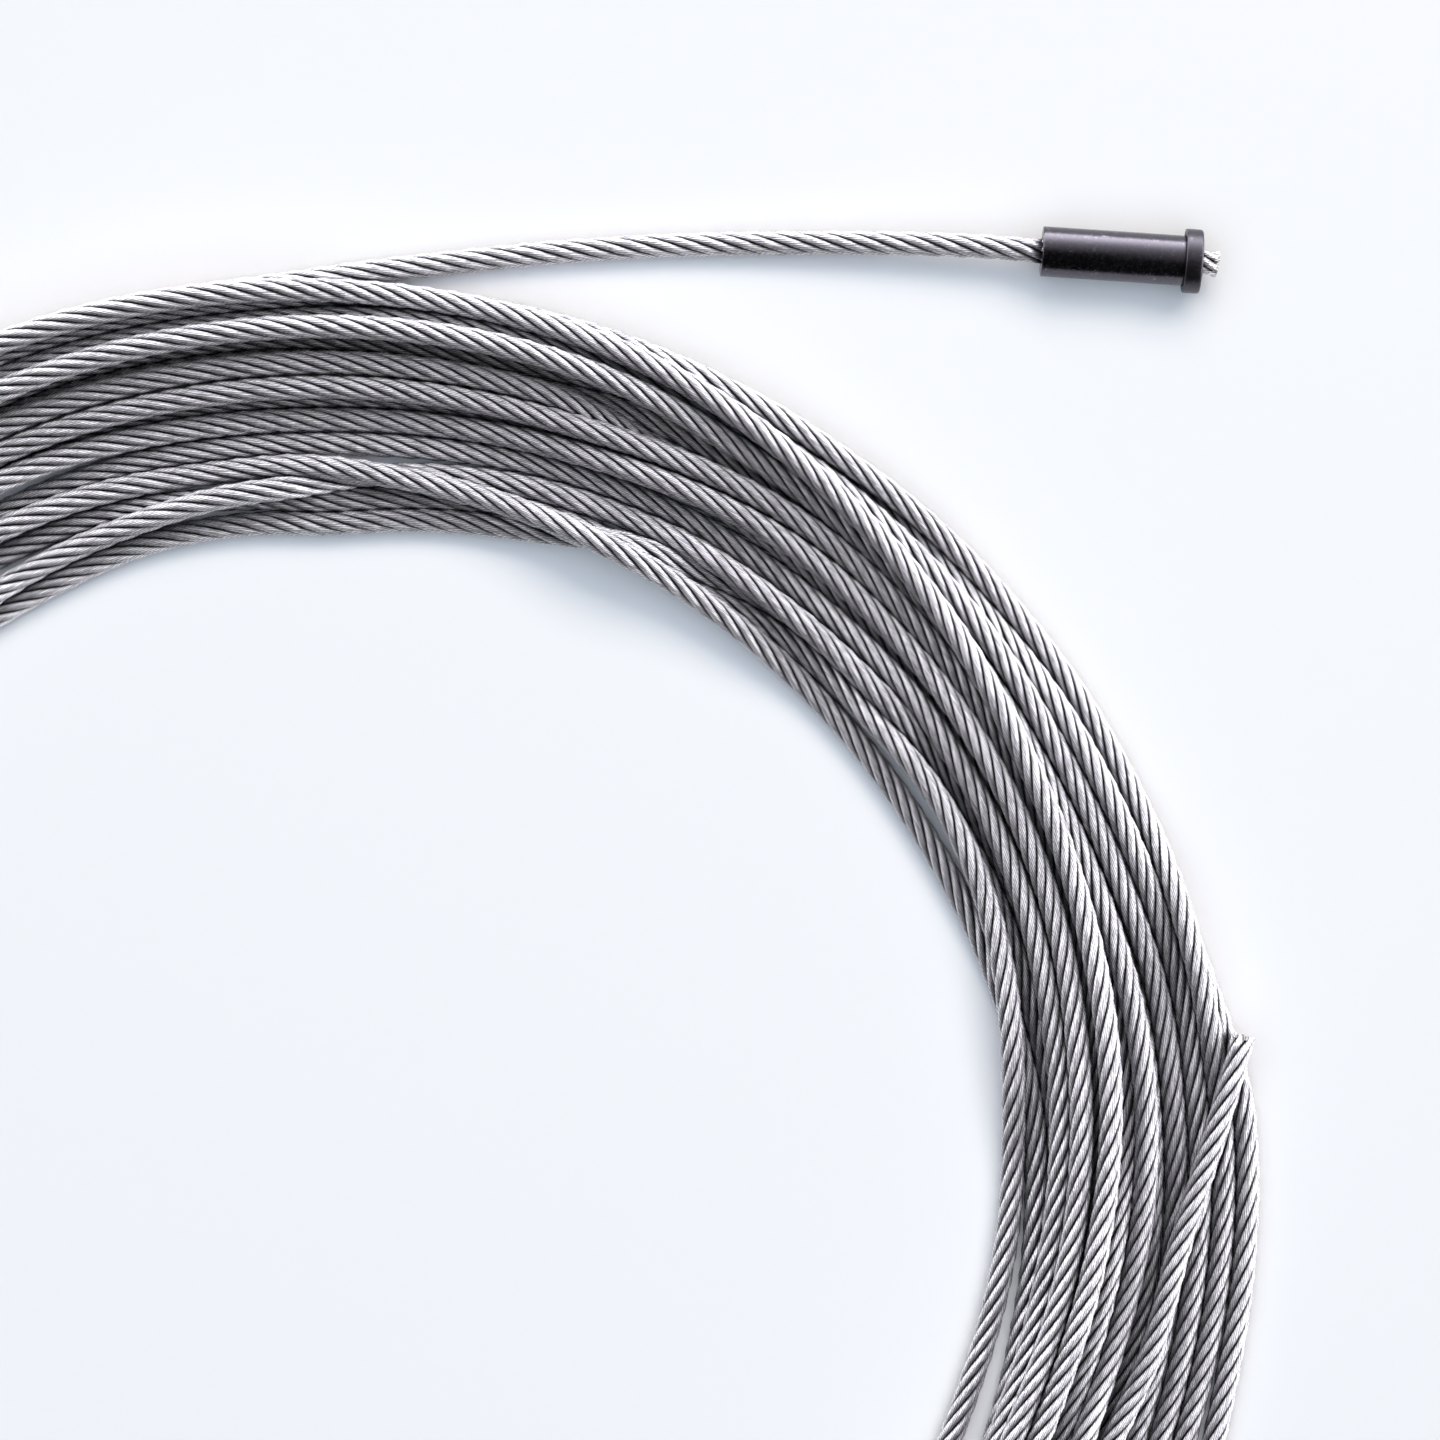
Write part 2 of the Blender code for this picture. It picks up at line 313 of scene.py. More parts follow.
@functools.lru_cache(maxsize=None)
def whole_line():
    """The rope's middle line from its stub past the collar, and the index of the sleeve's mouth in it."""
    step = LAY_LENGTH / RINGS_PER_LAY
    frame_now = sleeve_frame()
    end = COLLAR_START + COLLAR_LENGTH + STUB_LENGTH - STRANDS_SHORT
    count = round(end / step)
    stub = []
    for i in range(count):
        along = end * (count - i) / count
        past = max(0.0, along - COLLAR_START - COLLAR_LENGTH) / STUB_LENGTH
        stub.append(tuple(frame_now @ Vector((0, -STUB_SAG * past**2, along))))
    return np.vstack([stub, rope_route()]), count


def resampled(line, step):
    """The same line with its points this far apart, on a smooth curve through the old ones."""
    lengths = np.concatenate([[0], np.cumsum(np.linalg.norm(np.diff(line, axis=0), axis=1))])
    keep = np.concatenate([[True], np.diff(lengths) > 1e-6])
    line, lengths = line[keep], lengths[keep]
    count = max(2, round(lengths[-1] / step))
    wanted = np.linspace(0, lengths[-1], count + 1)
    return np.stack([smooth_through(np.stack([lengths, line[:, i]], 1), wanted) for i in range(3)], 1)


def tangents(line):
    ways = np.gradient(line, axis=0)
    return ways / np.linalg.norm(ways, axis=1, keepdims=True)


def carried_frames(line):
    """The line's tangents, and two directions across it that turn with it and don't twist."""
    ways = tangents(line)
    side = np.cross(ways[0], (0, 0, 1))
    side /= np.linalg.norm(side)
    sides = [side]
    for way in ways[1:]:
        side = side - way * (side @ way)
        side = side / np.linalg.norm(side)
        sides.append(side)
    sides = np.array(sides)
    return ways, sides, np.cross(ways, sides)


def strand_line(line, index):
    """A strand's middle line round the rope's line, its outward direction, and its lays so far."""
    ways, across, up = carried_frames(line)
    along = np.concatenate([[0], np.cumsum(np.linalg.norm(np.diff(line, axis=0), axis=1))])
    turn = 2 * math.pi * (index / OUTER_STRANDS + along / LAY_LENGTH)
    out = np.cos(turn)[:, None] * across + np.sin(turn)[:, None] * up
    return line + STRAND_CIRCLE_RADIUS * out, out, along / LAY_LENGTH


def tube_mesh(name, line, out, lays, radius, sides):
    """A capped tube along the line. Its UV map runs once round it, and by one for each lay."""
    ways = tangents(line)
    out = out - ways * np.sum(out * ways, axis=1, keepdims=True)
    out /= np.linalg.norm(out, axis=1, keepdims=True)
    side = np.cross(ways, out)
    turns = 2 * np.pi * np.arange(sides) / sides
    rings = line[:, None] + radius * (
        np.cos(turns)[None, :, None] * out[:, None] + np.sin(turns)[None, :, None] * side[:, None]
    )
    count = len(line)
    ring, corner = np.meshgrid(np.arange(count - 1), np.arange(sides), indexing="ij")
    after = (corner + 1) % sides
    here, there = ring * sides, (ring + 1) * sides
    quads = np.stack([here + corner, here + after, there + after, there + corner], -1).reshape(-1, 4)
    u = np.stack([corner, corner + 1, corner + 1, corner], -1).reshape(-1) / sides
    v = np.stack([lays[ring], lays[ring], lays[ring + 1], lays[ring + 1]], -1).reshape(-1)
    caps = np.stack([np.arange(sides)[::-1], (count - 1) * sides + np.arange(sides)])
    mesh = bpy.data.meshes.new(name)
    mesh.vertices.add(count * sides)
    mesh.vertices.foreach_set("co", rings.reshape(-1))
    corners = np.concatenate([quads.reshape(-1), caps.reshape(-1)])
    mesh.loops.add(len(corners))
    mesh.loops.foreach_set("vertex_index", corners.astype(np.int32))
    mesh.polygons.add(len(quads) + 2)
    starts = np.concatenate([np.arange(len(quads)) * 4, len(quads) * 4 + np.arange(2) * sides])
    mesh.polygons.foreach_set("loop_start", starts.astype(np.int32))
    mesh.update(calc_edges=True)
    smooth = np.concatenate([np.ones(len(quads), bool), np.zeros(2, bool)])
    mesh.polygons.foreach_set("use_smooth", smooth)
    layer = mesh.uv_layers.new(name="lay")
    flat_u = np.concatenate([u, np.zeros(2 * sides)])
    flat_v = np.concatenate([v, np.full(sides, lays[0]), np.full(sides, lays[-1])])
    layer.data.foreach_set("uv", np.stack([flat_u, flat_v], 1).reshape(-1))
    mesh.validate()
    return mesh


# ---------------------------------------------------------------- pieces


def add_piece(name, mesh, material, replaced=()):
    """A shown piece in the row frame and the nodes that it replaces."""
    obj = bpy.data.objects.new(name, mesh)
    bpy.context.scene.collection.objects.link(obj)
    mesh.materials.append(material)
    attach(obj, "root")
    if replaced:
        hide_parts(*replaced)
    return obj


def sleeve_frame():
    """The sleeve's own frame: at the middle of its mouth, with +Z along its axis to the collar."""
    turn = Matrix.Rotation(SLEEVE_TURN, 4, "Z") @ Matrix.Rotation(math.pi / 2, 4, "Y")
    return Matrix.Translation(SLEEVE_MOUTH) @ turn


def rounded(outline, roundings, steps=4):
    """The closed outline with each corner replaced by a curve that starts this far back from it."""
    points = []
    count = len(outline)
    for i, corner in enumerate(outline):
        corner = Vector(corner)
        before = (Vector(outline[i - 1]) - corner).normalized()
        after = (Vector(outline[(i + 1) % count]) - corner).normalized()
        size = roundings[i]
        if size <= 0:
            points.append(corner)
            continue
        start, end = corner + before * size, corner + after * size
        for k in range(steps + 1):
            t = k / steps
            points.append((1 - t) ** 2 * start + 2 * t * (1 - t) * corner + t**2 * end)
    return points


def turned_mesh(name, outline, steps):
    """The closed outline of (distance along the axis, radius) points, turned round +Z."""
    work = bmesh.new()
    corners = [work.verts.new((radius, 0, along)) for along, radius in outline]
    edges = [work.edges.new(pair) for pair in zip(corners, corners[1:] + corners[:1])]
    bmesh.ops.spin(
        work,
        geom=corners + edges,
        axis=(0, 0, 1),
        cent=(0, 0, 0),
        angle=2 * math.pi,
        steps=steps,
        use_merge=True,
    )
    bmesh.ops.remove_doubles(work, verts=work.verts, dist=1e-7)
    bmesh.ops.recalc_face_normals(work, faces=work.faces)
    mesh = bpy.data.meshes.new(name)
    work.to_mesh(mesh)
    work.free()
    mesh.shade_smooth()
    return mesh


def add_stop_sleeve():
    end = SLEEVE_LENGTH
    outline = [
        (end, SLEEVE_BORE_RADIUS),
        (end, SLEEVE_RADIUS),
        (0, SLEEVE_RADIUS),
        (0, SLEEVE_BORE_RADIUS),
    ]
    edge = bpy.context.scene.wire_rope_sleeve.edge_rounding
    mesh = turned_mesh("stop_sleeve_body", rounded(outline, (edge, edge, edge, edge)), SLEEVE_STEPS)
    mesh.transform(sleeve_frame())
    return add_piece("stop_sleeve_body", mesh, sleeve_material(), ["stop_sleeve"])


def add_collar():
    start, end = COLLAR_START, COLLAR_START + COLLAR_LENGTH
    outline = [
        (end, SLEEVE_BORE_RADIUS),
        (end, COLLAR_RADIUS),
        (start, COLLAR_RADIUS),
        (start, SLEEVE_RADIUS + RECESS_GAP),
        (start + RECESS_DEPTH, SLEEVE_RADIUS + RECESS_GAP),
        (start + RECESS_DEPTH, SLEEVE_BORE_RADIUS),
    ]
    edge = bpy.context.scene.wire_rope_sleeve.edge_rounding
    roundings = (edge, 2.4 * edge, 1.2 * edge, 0, 0, 0)
    mesh = turned_mesh("collar_ring", rounded(outline, roundings), SLEEVE_STEPS)
    mesh.transform(sleeve_frame())
    return add_piece("collar_ring", mesh, collar_material(), ["collar"])


def add_strands():
    """The free rope's six outer strands, its core strand and the sheared wires at its cut end."""
    rope = bpy.context.scene.wire_rope_rope
    line, mouth = whole_line()
    free_line = line[mouth:]
    radius = rope.strand_diameter / 2
    for i in range(OUTER_STRANDS):
        middle, out, lays = strand_line(line, i)
        name = f"strand_{i + 1}"
        mesh = tube_mesh(name, middle[mouth:], out[mouth:], lays[mouth:], radius, rope.strand_sides)
        replaced = ["rope_lead", "rope_coil", "rope_cut_end"] if i == 0 else []
        add_piece(name, mesh, outer_strand_material(), replaced)
    ways, across, _ = carried_frames(line)
    lays = np.arange(len(line)) / RINGS_PER_LAY
    mesh = tube_mesh("core_strand", free_line, across[mouth:], lays[mouth:], radius, 6)
    add_piece("core_strand", mesh, core_strand_material())
    tips = add_wire_tips("cut_end_wires", line[-1], ways[-1], across[-1], len(line) - 1, CUT_END_SEED)


def add_sleeve_strands():
    """The same strands inside the sleeve and out past its collar."""
    rope = bpy.context.scene.wire_rope_rope
    line, mouth = whole_line()
    last = mouth + 1
    radius = rope.strand_diameter / 2
    for i in range(OUTER_STRANDS):
        middle, out, lays = strand_line(line, i)
        name = f"sleeve_strand_{i + 1}"
        mesh = tube_mesh(name, middle[:last], out[:last], lays[:last], radius, rope.strand_sides)
        replaced = [f"rope_end_strand_{i + 1}"]
        add_piece(name, mesh, outer_strand_material(), replaced)
    ways, across, _ = carried_frames(line)
    lays = np.arange(len(line)) / RINGS_PER_LAY
    mesh = tube_mesh("sleeve_core_strand", line[:last], across[:last], lays[:last], radius, 8)
    add_piece("sleeve_core_strand", mesh, core_strand_material(), ["rope_end_core_strand"])
    add_wire_tips("stub_wires", line[0], -ways[0], across[0], 0, STUB_SEED)


def wire_places():
    """Where a strand's nineteen wires lie in its section, in wire diameters."""
    places = [(0.0, 0.0)]
    for ring, count in ((1, 6), (2, 12)):
        for i in range(count):
            turn = 2 * math.pi * i / count
            places.append((ring * math.cos(turn), ring * math.sin(turn)))
    return places


def add_wire_tips(name, centre, way, across, ring_index, seed):
    """The sheared ends of all the wires, standing unevenly out of the strands at one end of the rope."""
    settings = bpy.context.scene.wire_rope_ends
    chance = np.random.default_rng(seed)
    strand_radius = bpy.context.scene.wire_rope_rope.strand_diameter / 2
    wire = settings.wire_diameter
    way, across = Vector(way), Vector(across)
    # The strands' sections lie in the same frame at either end of the rope.
    along = way if ring_index else -way
    up = along.cross(across)
    work = bmesh.new()
    for strand in range(OUTER_STRANDS + 1):
        turn = 2 * math.pi * (strand / OUTER_STRANDS + ring_index / RINGS_PER_LAY)
        out = math.cos(turn) * across + math.sin(turn) * up
        middle = Vector(centre) + (out * STRAND_CIRCLE_RADIUS if strand < OUTER_STRANDS else Vector())
        for a, b in wire_places():
            place = middle + (across * a + up * b) * (strand_radius - wire / 2) / 2
            lean = Vector(chance.normal(0, settings.splay, 3))
            lean += out * settings.splay if strand < OUTER_STRANDS else Vector()
            tip_way = (way + lean).normalized()
            reach = settings.stand_out * chance.uniform(0.25, 1)
            start = place - way * WIRE_ROOT
            turn_to = tip_way.to_track_quat("Z", "Y").to_matrix().to_4x4()
            depth = WIRE_ROOT + reach
            made = bmesh.ops.create_cone(
                work, cap_ends=True, segments=8, radius1=wire / 2, radius2=wire / 2 * 0.86, depth=depth
            )
            placed = Matrix.Translation(start + tip_way * depth / 2) @ turn_to
            bmesh.ops.transform(work, matrix=placed, verts=made["verts"])
    mesh = bpy.data.meshes.new(name)
    work.to_mesh(mesh)
    work.free()
    mesh.shade_smooth()
    mesh.set_sharp_from_angle(angle=math.radians(40))
    return add_piece(name, mesh, wire_tip_material())


# ---------------------------------------------------------------- shader groups


def new_group(name, inputs, outputs):
    """An empty shader node group with these (name, value) inputs and named outputs, all numbers."""
    group = bpy.data.node_groups.new(name, "ShaderNodeTree")
    for socket_name, value in inputs:
        socket = group.interface.new_socket(socket_name, in_out="INPUT", socket_type="NodeSocketFloat")
        socket.default_value = value
    for socket_name in outputs:
        group.interface.new_socket(socket_name, in_out="OUTPUT", socket_type="NodeSocketFloat")
    return group, group.nodes.new("NodeGroupInput"), group.nodes.new("NodeGroupOutput")


def connect(tree, value, socket):
    """Links the value to the socket if it is another node's socket, or else sets it there."""
    if isinstance(value, bpy.types.NodeSocket):
        tree.links.new(value, socket)
    else:
        socket.default_value = value


def maths(tree, operation, a, b=0.0, c=0.0, clamp=False):
    node = tree.nodes.new("ShaderNodeMath")
    node.operation = operation
    node.use_clamp = clamp
    for socket, value in zip(node.inputs, (a, b, c)):
        connect(tree, value, socket)
    return node.outputs[0]


def ramp_between(tree, value, low, high, from_value=0.0, to_value=1.0):
    """Goes smoothly between two values as its input goes from low to high."""
    node = tree.nodes.new("ShaderNodeMapRange")
    node.interpolation_type = "SMOOTHSTEP"
    for name, given in (
        ("Value", value),
        ("From Min", low),
        ("From Max", high),
        ("To Min", from_value),
        ("To Max", to_value),
    ):
        connect(tree, given, node.inputs[name])
    return node.outputs["Result"]


def noise(tree, vector, scale, detail=2.0, roughness=0.5, stretch=None):
    if stretch:
        mapping = tree.nodes.new("ShaderNodeMapping")
        tree.links.new(vector, mapping.inputs["Vector"])
        mapping.inputs["Scale"].default_value = stretch
        vector = mapping.outputs["Vector"]
    node = tree.nodes.new("ShaderNodeTexNoise")
    tree.links.new(vector, node.inputs["Vector"])
    node.inputs["Scale"].default_value = scale
    node.inputs["Detail"].default_value = detail
    node.inputs["Roughness"].default_value = roughness
    return node.outputs["Fac"]


def mixed_colour(tree, factor, first, second):
    node = tree.nodes.new("ShaderNodeMix")
    node.data_type = "RGBA"
    connect(tree, factor, node.inputs["Factor"])
    sockets = [socket for socket in node.inputs if socket.type == "RGBA"]
    for socket, value in zip(sockets, (first, second)):
        connect(tree, value if isinstance(value, bpy.types.NodeSocket) else (*value, 1), socket)
    return next(socket for socket in node.outputs if socket.type == "RGBA")


def laid_wires_group():
    """The outer wires of a strand, from its UV map: u once round it, and v by one for each lay.

    Height is each wire's round top, Tone differs from wire to wire and along each, and Crown is one
    on the strand's outer side and falls to nothing where it faces into the rope. Groove is one
    between two wires.
    """
    group = bpy.data.node_groups.get("Laid Wires")
    if group:
        return group
    tree, given, result = new_group(
        "Laid Wires",
        (("Wires", float(OUTER_WIRES)), ("Turns per Lay", float(WIRE_TURNS_PER_LAY))),
        ("Height", "Tone", "Crown", "Groove"),
    )
    uv = tree.nodes.new("ShaderNodeUVMap")
    uv.uv_map = "lay"
    split = tree.nodes.new("ShaderNodeSeparateXYZ")
    tree.links.new(uv.outputs["UV"], split.inputs[0])
    u, v = split.outputs[0], split.outputs[1]
    turned = maths(tree, "MULTIPLY_ADD", maths(tree, "FRACT", v), given.outputs["Turns per Lay"], u)
    place = maths(tree, "MULTIPLY", turned, given.outputs["Wires"])
    within = maths(tree, "MULTIPLY_ADD", maths(tree, "FRACT", place), 2.0, -1.0)
    squared = maths(tree, "MULTIPLY", within, within)
    height = maths(tree, "SQRT", maths(tree, "SUBTRACT", 1.0, maths(tree, "MULTIPLY", squared, 0.985)))
    tree.links.new(height, result.inputs["Height"])
    wire = maths(tree, "MODULO", maths(tree, "FLOOR", place), given.outputs["Wires"])
    spot = tree.nodes.new("ShaderNodeCombineXYZ")
    tree.links.new(maths(tree, "MULTIPLY", wire, 7.31), spot.inputs[0])
    tree.links.new(maths(tree, "MULTIPLY", v, 8.0), spot.inputs[1])
    tree.links.new(noise(tree, spot.outputs[0], 1.0, 3.0, 0.6), result.inputs["Tone"])
    round_it = maths(tree, "COSINE", maths(tree, "MULTIPLY", u, 2 * math.pi))
    tree.links.new(ramp_between(tree, round_it, -0.25, 0.85), result.inputs["Crown"])
    tree.links.new(ramp_between(tree, squared, 0.25, 0.95), result.inputs["Groove"])
    return tree


def scuffs_group():
    """Fine scratches that run one way across a turned piece, with patches where they gather."""
    group = bpy.data.node_groups.get("Scuffs")
    if group:
        return group
    tree, given, result = new_group("Scuffs", (("Amount", 0.5),), ("Mask", "Smudge"))
    place = tree.nodes.new("ShaderNodeTexCoord").outputs["Object"]
    along = noise(tree, place, 900, 2.0, 0.6, (1.0, 1.0, 0.16))
    across = noise(tree, place, 700, 2.0, 0.6, (0.25, 1.0, 1.0))
    patches = noise(tree, place, 190, 3.0, 0.6)
    along_lines = ramp_between(tree, along, 0.6, 0.74)
    across_lines = ramp_between(tree, across, 0.63, 0.76)
    lines = maths(tree, "MAXIMUM", along_lines, across_lines)
    gathered = maths(tree, "MULTIPLY", lines, ramp_between(tree, patches, 0.42, 0.66))
    mask = maths(tree, "MULTIPLY", gathered, given.outputs["Amount"], clamp=True)
    tree.links.new(mask, result.inputs["Mask"])
    tree.links.new(noise(tree, place, 1300, 4.0, 0.7), result.inputs["Smudge"])
    return tree


def place_group(tree, group, **values):
    node = tree.nodes.new("ShaderNodeGroup")
    node.node_tree = group
    for name, value in values.items():
        node.inputs[name.replace("_", " ")].default_value = value
    return node


def new_material(name):
    material = bpy.data.materials.new(name)
    material.use_nodes = True
    tree = material.node_tree
    return material, tree, tree.nodes["Principled BSDF"]


def add_bump(tree, shader, height, distance, strength=1.0):
    bump = tree.nodes.new("ShaderNodeBump")
    bump.inputs["Strength"].default_value = strength
    bump.inputs["Distance"].default_value = distance
    tree.links.new(height, bump.inputs["Height"])
    tree.links.new(bump.outputs["Normal"], shader.inputs["Normal"])


# ---------------------------------------------------------------- materials


def strand_material(name, bright, dull, painted_shade):
    """Drawn wires of random tone between dull and bright, with painted shade: a near-black shade colour
    fills the grooves between wires, the strand's sides that face into the rope, and the gaps where turns lie
    close."""
    material = bpy.data.materials.get(name)
    if material:
        return material
    material, tree, shader = new_material(name)
    wires = place_group(tree, laid_wires_group(), Wires=OUTER_WIRES, Turns_per_Lay=WIRE_TURNS_PER_LAY)
    shader.inputs["Specular IOR Level"].default_value = 0.2
    toned = mixed_colour(tree, ramp_between(tree, wires.outputs["Tone"], 0.34, 0.6), dull, bright)
    # Painted shade: the grooves between wires are darkened towards the shade colour.
    grooved = mixed_colour(tree, maths(tree, "MULTIPLY", wires.outputs["Groove"], 0.95), toned, painted_shade)
    # Painted shade: ambient occlusion darkens the rope where other turns or strands lie close.
    occlusion = tree.nodes.new("ShaderNodeAmbientOcclusion")
    occlusion.samples = 6
    occlusion.inputs["Distance"].default_value = 0.7 * ROPE_DIAMETER
    open_air = ramp_between(tree, occlusion.outputs["AO"], 0.12, 0.62)
    # Painted shade: the strand's sides that face into the rope, and occluded places, take the near-black
    # shade colour and lose their metal.
    shown = maths(tree, "MULTIPLY", wires.outputs["Crown"], open_air)
    tree.links.new(mixed_colour(tree, shown, painted_shade, grooved), shader.inputs["Base Color"])
    tree.links.new(ramp_between(tree, shown, 0.05, 0.5), shader.inputs["Metallic"])
    rough = ramp_between(tree, wires.outputs["Tone"], 0.3, 0.7, 0.5, 0.36)
    tree.links.new(rough, shader.inputs["Roughness"])
    add_bump(tree, shader, wires.outputs["Height"], 0.00015)
    return material


# The last colour of each strand material is its painted shade, not dirt.
def outer_strand_material():
    return strand_material("drawn_wire", (0.97, 0.96, 1.0), (0.54, 0.53, 0.56), (0.005, 0.005, 0.006))


def core_strand_material():
    return strand_material("core_wire", (0.52, 0.51, 0.50), (0.40, 0.39, 0.38), (0.03, 0.028, 0.027))


def wire_tip_material():
    material = bpy.data.materials.get("sheared_wire")
    if material:
        return material
    material, _, shader = new_material("sheared_wire")
    shader.inputs["Metallic"].default_value = 1.0
    shader.inputs["Base Color"].default_value = (0.66, 0.65, 0.64, 1)
    shader.inputs["Roughness"].default_value = 0.34
    return material


def black_material(name, black, scuffed, amount, rough_low, rough_high):
    """Black oxide on turned steel, with smudges in its gloss and scuffs down to greyer metal."""
    material = bpy.data.materials.get(name)
    if material:
        return material
    material, tree, shader = new_material(name)
    scuffs = place_group(tree, scuffs_group(), Amount=amount)
    shader.inputs["Metallic"].default_value = 1.0
    tree.links.new(mixed_colour(tree, scuffs.outputs["Mask"], black, scuffed), shader.inputs["Base Color"])
    rough = ramp_between(tree, scuffs.outputs["Smudge"], 0.3, 0.7, rough_low, rough_high)
    tree.links.new(rough, shader.inputs["Roughness"])
    add_bump(tree, shader, scuffs.outputs["Smudge"], 0.00003, 0.5)
    return material


def sleeve_material():
    return black_material("sleeve_black", (0.094, 0.088, 0.104), (0.40, 0.38, 0.40), 0.45, 0.17, 0.30)


def collar_material():
    return black_material("collar_black", (0.072, 0.068, 0.080), (0.38, 0.36, 0.38), 0.6, 0.29, 0.43)


# ---------------------------------------------------------------- stage


LIGHT_AIM = Vector((0.07, 0.05, 0))
KEY_COLOUR = (1.0, 0.91, 0.78)
TOP_COLOUR = (0.74, 0.87, 1.0)


def add_floor():
    bpy.ops.mesh.primitive_plane_add(size=8, location=(0, 0, 0))
    floor = bpy.context.object
    floor.name = "floor"
    material, _, shader = new_material("floor_paper")
    shader.inputs["Base Color"].default_value = (0.90, 0.865, 0.865, 1)
    shader.inputs["Roughness"].default_value = 0.85
    shader.inputs["Specular IOR Level"].default_value = 0.2
    floor.data.materials.append(material)


def add_world(stage):
    """What the metal mirrors: a dark studio with a low bright wall round the light's side. The camera
    sees a plain pale wall instead, and the floor is lit by the soft lights alone."""
    world = bpy.data.worlds.new("studio")
    bpy.context.scene.world = world
    world.use_nodes = True
    world.cycles_visibility.diffuse = False
    tree = world.node_tree
    lit = tree.nodes["Background"]
    way = tree.nodes.new("ShaderNodeTexCoord").outputs["Generated"]
    split = tree.nodes.new("ShaderNodeSeparateXYZ")
    tree.links.new(way, split.inputs[0])
    up = split.outputs[2]
    level = maths(tree, "SQRT", maths(tree, "SUBTRACT", 1.0, maths(tree, "MULTIPLY", up, up), clamp=True))
    towards = tree.nodes.new("ShaderNodeVectorMath")
    towards.operation = "DOT_PRODUCT"
    tree.links.new(way, towards.inputs[0])
    towards.inputs[1].default_value = Vector((*stage.light_side, 0)).normalized()
    facing = maths(tree, "DIVIDE", towards.outputs["Value"], maths(tree, "MAXIMUM", level, 0.02))
    wall = maths(tree, "MULTIPLY", maths(tree, "POWER", level, stage.wall_falloff), stage.wall_strength)
    wall = maths(tree, "MULTIPLY_ADD", level, stage.glow_strength, wall)
    strength = maths(tree, "MULTIPLY_ADD", wall, ramp_between(tree, facing, -0.85, 0.4), stage.fill_strength)
    tree.links.new(strength, lit.inputs["Strength"])
    lit.inputs["Color"].default_value = (*stage.wall_colour, 1)
    seen = tree.nodes.new("ShaderNodeBackground")
    seen.inputs["Color"].default_value = (0.88, 0.91, 0.96, 1)
    mix = tree.nodes.new("ShaderNodeMixShader")
    tree.links.new(tree.nodes.new("ShaderNodeLightPath").outputs["Is Camera Ray"], mix.inputs[0])
    tree.links.new(lit.outputs[0], mix.inputs[1])
    tree.links.new(seen.outputs[0], mix.inputs[2])
    tree.links.new(mix.outputs[0], tree.nodes["World Output"].inputs["Surface"])


def add_soft_light(name, place, size, power, colour):
    """A soft box that lights the floor and leaves no glint of its own in the metal."""
    data = bpy.data.lights.new(name, "AREA")
    data.shape = "RECTANGLE"
    data.size, data.size_y = size
    data.energy = power
    data.color = colour
    light = bpy.data.objects.new(name, data)
    bpy.context.scene.collection.objects.link(light)
    light.location = place
    light.rotation_euler = (LIGHT_AIM - light.location).to_track_quat("-Z", "Y").to_euler()
    light.visible_glossy = False


def add_camera(stage):
    """Straight down, over the middle of the view, with +Y up in the picture."""
    data = bpy.data.cameras.new("camera")
    data.sensor_width = 36
    data.lens = 36 * stage.camera_height / stage.view_width
    data.clip_start = 0.01
    camera = bpy.data.objects.new("camera", data)
    bpy.context.scene.collection.objects.link(camera)
    camera.location = (*stage.view_middle, 0.006 + stage.camera_height)
    bpy.context.scene.camera = camera


# ---------------------------------------------------------------- settings, operators and panel


class WireRopeRopeSettings(bpy.types.PropertyGroup):
    strand_diameter: FloatProperty(
        name="Strand Diameter",
        description="Each strand's diameter",
        default=STRAND_DIAMETER,
        unit="LENGTH",
    )
    strand_sides: IntProperty(
        name="Strand Sides",
        description="Faces round each strand",
        default=10,
        min=6,
        max=14,
    )


class WireRopeEndSettings(bpy.types.PropertyGroup):
    wire_diameter: FloatProperty(
        name="Wire Diameter", description="Each sheared wire's diameter", default=0.00030, unit="LENGTH"
    )
    stand_out: FloatProperty(
        name="Stand Out",
        description="How far the longest wires stand out of the strands",
        default=0.0005,
        unit="LENGTH",
    )
    splay: FloatProperty(
        name="Splay",
        description="How far the wires lean apart, as a slope",
        default=0.12,
    )


class WireRopeSleeveSettings(bpy.types.PropertyGroup):
    edge_rounding: FloatProperty(
        name="Edge Rounding",
        description="How far back each edge's rounding starts",
        default=0.00022,
        unit="LENGTH",
    )


